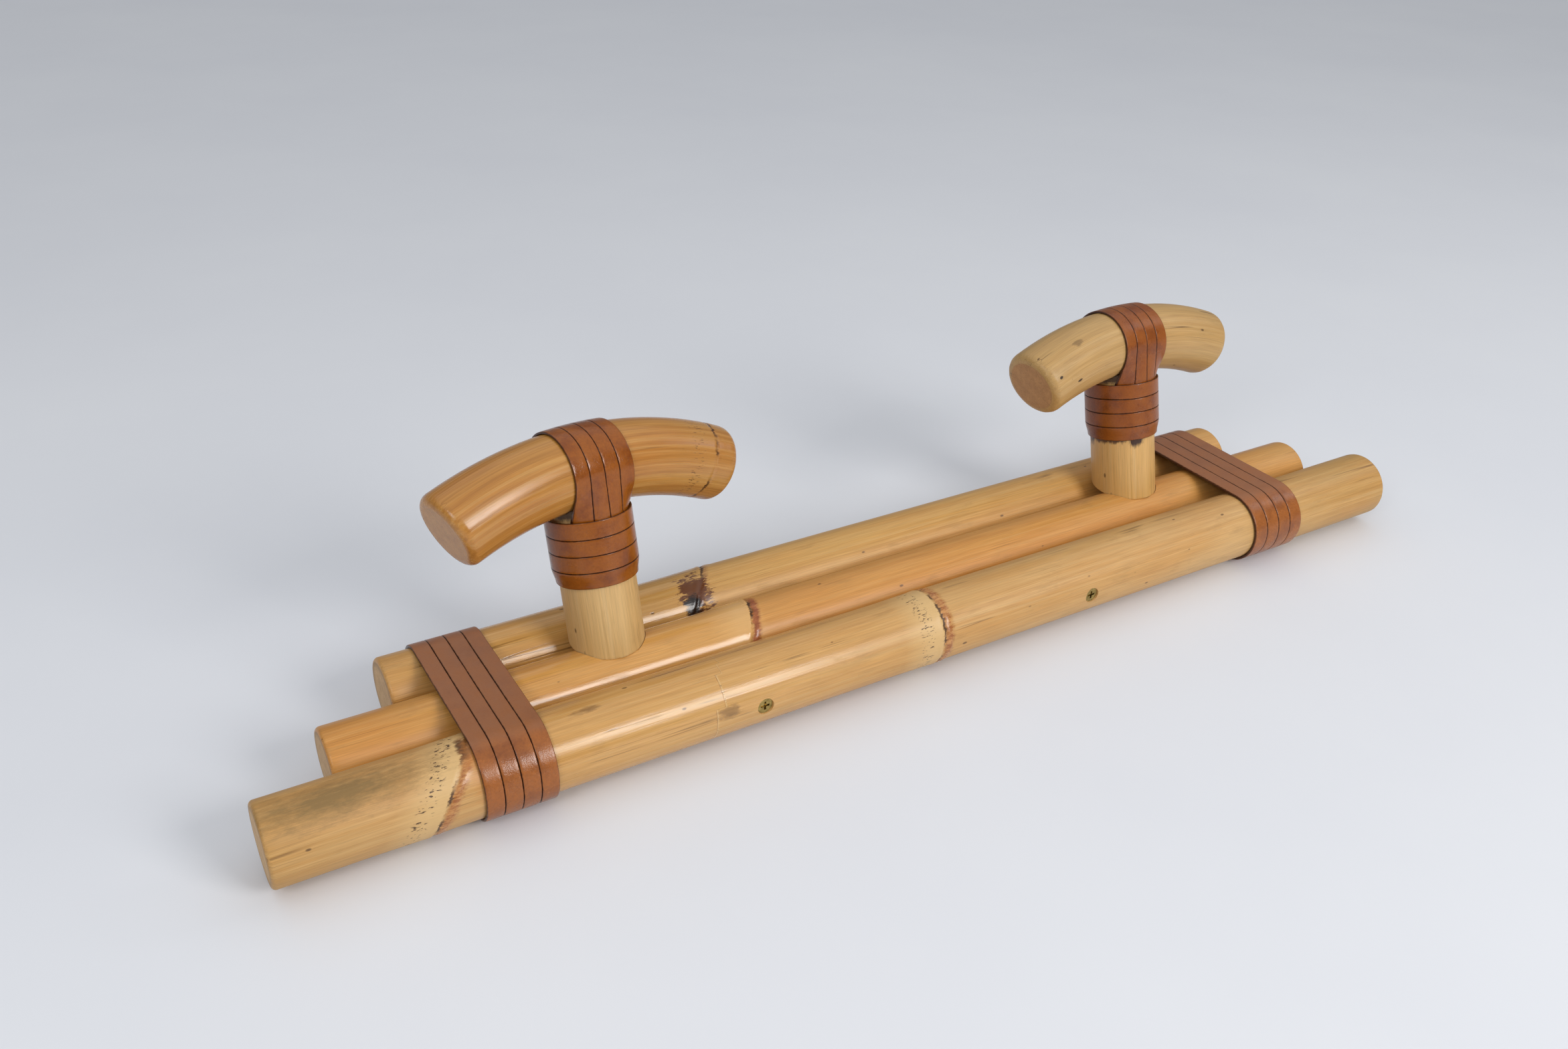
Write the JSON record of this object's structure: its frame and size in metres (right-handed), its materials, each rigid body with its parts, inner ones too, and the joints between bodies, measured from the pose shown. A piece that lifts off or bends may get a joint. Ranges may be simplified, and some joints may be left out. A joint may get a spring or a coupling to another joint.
{
  "type": "wall coat rack",
  "caption": "Wall coat rack of lacquered cane: parallel poles bound with leather strips, carrying T-shaped pegs with arched bars.",
  "frame": {"origin": "middle of the resting plane, which is the underside of the leather bindings and touches the wall in use", "axes": "+X along the poles, +Y from the longest pole to the shortest, which is up on the wall, +Z away from the wall along the pegs"},
  "size_m": [0.664, 0.118, 0.1408],
  "materials": {
    "cane_straw": "clear-lacquered peeled cane, semi-gloss",
    "cane_amber": "clear-lacquered cane with its skin, glossy",
    "cane_pale": "clear-lacquered peeled cane, satin",
    "leather_binding": "waxed vegetable-tanned leather, dusty satin",
    "leather_peg": "waxed vegetable-tanned leather, glossy",
    "screw_brass": "aged brass",
    "screw_steel": "zinc-plated",
    "hanger_steel": "zinc-plated",
    "tack_steel": "blued steel"
  },
  "bodies": {
    "root": {"binding_strip_left_1": "leather_binding", "binding_strip_left_2": "leather_binding", "binding_strip_left_3": "leather_binding", "binding_strip_left_4": "leather_binding", "binding_strip_right_1": "leather_binding", "binding_strip_right_2": "leather_binding", "binding_strip_right_3": "leather_binding", "binding_strip_right_4": "leather_binding", "binding_tacks_left": "tack_steel", "binding_tacks_right": "tack_steel", "collar_strip_left_1": "leather_peg", "collar_strip_left_2": "leather_peg", "collar_strip_left_3": "leather_peg", "collar_strip_left_4": "leather_peg", "collar_strip_right_1": "leather_peg", "collar_strip_right_2": "leather_peg", "collar_strip_right_3": "leather_peg", "collar_strip_right_4": "leather_peg", "front_pole_screws": "screw_brass", "hanger_plate_left": "hanger_steel", "hanger_plate_right": "hanger_steel", "hanger_screws": "screw_steel", "peg_bar_left": "cane_amber", "peg_bar_right": "cane_pale", "peg_base_screws": "screw_steel", "peg_post_left": "cane_pale", "peg_post_right": "cane_pale", "peg_top_screws": "screw_steel", "pole_front": "cane_straw", "pole_middle": "cane_amber", "pole_rear": "cane_straw", "rear_pole_screws": "screw_brass", "saddle_strip_left_1": "leather_peg", "saddle_strip_left_2": "leather_peg", "saddle_strip_left_3": "leather_peg", "saddle_strip_left_4": "leather_peg", "saddle_strip_right_1": "leather_peg", "saddle_strip_right_2": "leather_peg", "saddle_strip_right_3": "leather_peg", "saddle_strip_right_4": "leather_peg"}
  },
  "joints": []
}
